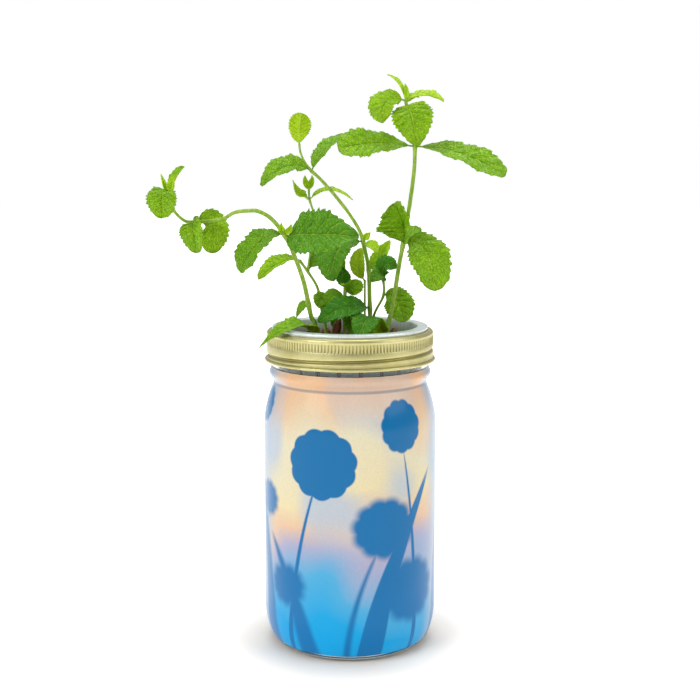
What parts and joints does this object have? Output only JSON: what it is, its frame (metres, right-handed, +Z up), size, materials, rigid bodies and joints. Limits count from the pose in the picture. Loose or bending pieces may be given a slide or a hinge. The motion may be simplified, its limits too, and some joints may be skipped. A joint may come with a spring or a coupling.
{
  "type": "hydroponic jar planter",
  "caption": "Glass jar in a printed sleeve with a screw band, a hanging net pot, a felt wick and a leafy mint plant.",
  "frame": {"origin": "centre of the jar's foot ring, on the surface it stands on", "axes": "+Z up along the jar's axis, -Y towards the viewer of the front, +X to the viewer's right"},
  "size_m": [0.181, 0.0941, 0.2987],
  "materials": {
    "glass": "gloss",
    "print": "satin",
    "gold_band": "satin",
    "soft_ring": "satin",
    "pot_steel": "satin",
    "felt": "matte",
    "coir": "matte",
    "husk": "matte",
    "stem": "satin",
    "leaf": "satin"
  },
  "bodies": {
    "jar": {"glass_jar": "glass", "print_sleeve": "print"},
    "seat": {"seat_ring": "soft_ring"},
    "band": {"screw_band": "gold_band"},
    "pot": {"net_pot": "pot_steel", "felt_wick": "felt", "coco_medium": "coir", "coco_chunks": "husk", "stem_tall": "stem", "stem_middle": "stem", "stem_runner": "stem", "stem_left": "stem", "stem_slim": "stem", "stem_pale": "stem", "stem_dark": "stem", "stem_short": "stem", "leaves_tall_top": "leaf", "leaves_tall_upper": "leaf", "leaves_tall_lower": "leaf", "leaves_middle_top": "leaf", "leaves_middle_low": "leaf", "leaf_runner_big": "leaf", "leaves_runner_node": "leaf", "leaves_runner_mid": "leaf", "leaves_runner_tip": "leaf", "leaves_left": "leaf", "leaves_slim": "leaf", "leaf_pale": "leaf", "leaves_dark": "leaf", "leaves_short_top": "leaf", "leaves_short_low": "leaf", "leaf_over_rim": "leaf", "leaves_low": "leaf"}
  },
  "joints": [
    {"name": "band_rise", "type": "slide", "parent": "jar", "child": "seat", "axis": [0, 0, 1], "range_m": [0, 0.008]},
    {"name": "band_turn", "type": "hinge", "parent": "seat", "child": "band", "pos_m": [0, 0, 0.157], "axis": [0, 0, 1], "range_deg": [0, 450]},
    {"name": "pot_lift", "type": "slide", "parent": "seat", "child": "pot", "axis": [0, 0, 1], "range_m": [0, 0.17]}
  ],
  "couplings": [
    {"joint": "band_rise", "follows": "band_turn", "m_per_rad": 0.0010106}
  ]
}
